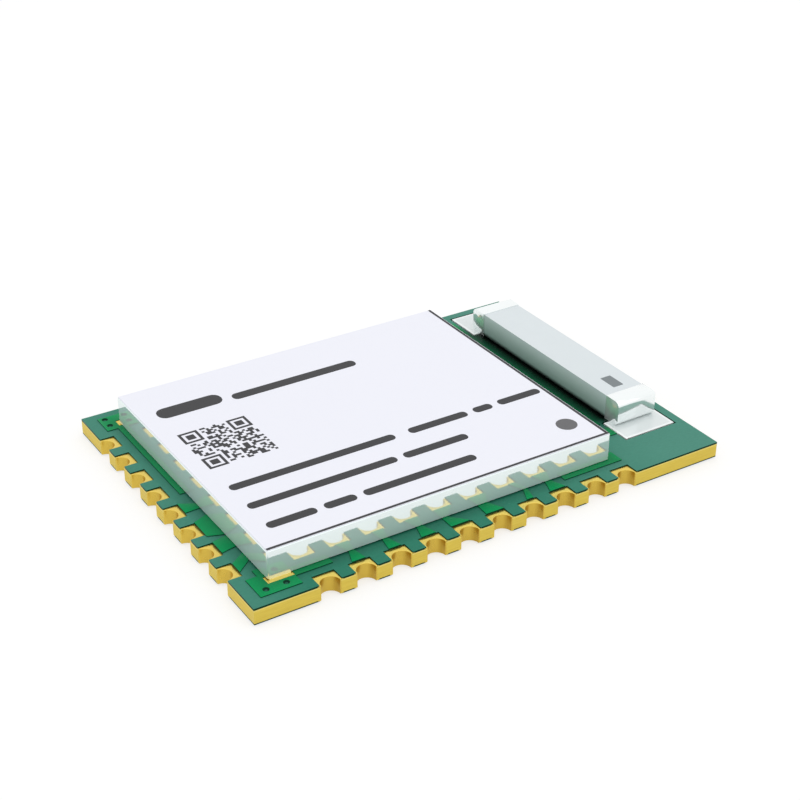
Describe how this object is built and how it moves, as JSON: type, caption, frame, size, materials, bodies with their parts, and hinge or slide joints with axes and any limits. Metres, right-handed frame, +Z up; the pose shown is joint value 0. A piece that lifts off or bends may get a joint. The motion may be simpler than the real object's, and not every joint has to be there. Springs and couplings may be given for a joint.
{
  "type": "short-range radio module",
  "caption": "Flat castellated radio module: thin green board edged with gold half-hole pads, low metal shield can with a white label, and a ceramic chip antenna at the free end.",
  "frame": {"origin": "under the middle of the board, on the plane that the module rests on", "axes": "+X along the board towards the antenna end, +Z up from the board towards the shield can"},
  "size_m": [0.018, 0.013, 0.0017],
  "materials": {
    "laminate": "sawn glass-fibre laminate",
    "solder_mask": "glossy green film",
    "gold": "gold-plated copper",
    "copper": "bare copper under the mask",
    "shield_metal": "bright tinned sheet",
    "label_film": "white printed film",
    "antenna_ceramic": "white fired ceramic",
    "tin": "bright tin plating and solder",
    "chip_plastic": "black moulding compound",
    "capacitor_ceramic": "brown fired ceramic",
    "inductor_ceramic": "blue-grey ceramic",
    "ferrite": "dark ferrite",
    "resistor_ceramic": "black glaze on ceramic",
    "crystal_ceramic": "dark fired ceramic",
    "crystal_lid": "plated metal lid"
  },
  "bodies": {
    "root": {"board_core": "laminate", "top_solder_mask": "solder_mask", "bottom_solder_mask": "solder_mask", "front_edge_pads": "gold", "rear_edge_pads": "gold", "left_edge_pads": "gold", "bottom_inner_pads": "gold", "shield_pads": "gold", "top_ground_copper": "copper", "signal_traces": "copper", "antenna_feed_trace": "copper", "component_lands": "copper", "bottom_ground_copper": "copper", "plated_vias": "copper", "shield_foot_solder": "tin", "shield_can": "shield_metal", "label": "label_film", "antenna_pads": "copper", "antenna_solder": "tin", "antenna_body": "antenna_ceramic", "antenna_front_terminal": "tin", "antenna_rear_terminal": "tin", "radio_chip_body": "chip_plastic", "radio_chip_leads": "tin", "fast_crystal_base": "crystal_ceramic", "fast_crystal_lid": "crystal_lid", "slow_crystal_base": "crystal_ceramic", "slow_crystal_lid": "crystal_lid", "capacitor_bodies": "capacitor_ceramic", "capacitor_end_caps": "tin", "matching_inductor_bodies": "inductor_ceramic", "matching_inductor_end_caps": "tin", "resistor_bodies": "resistor_ceramic", "resistor_end_caps": "tin", "converter_coil_bodies": "ferrite", "converter_coil_end_caps": "tin", "component_solder": "tin"}
  },
  "joints": []
}
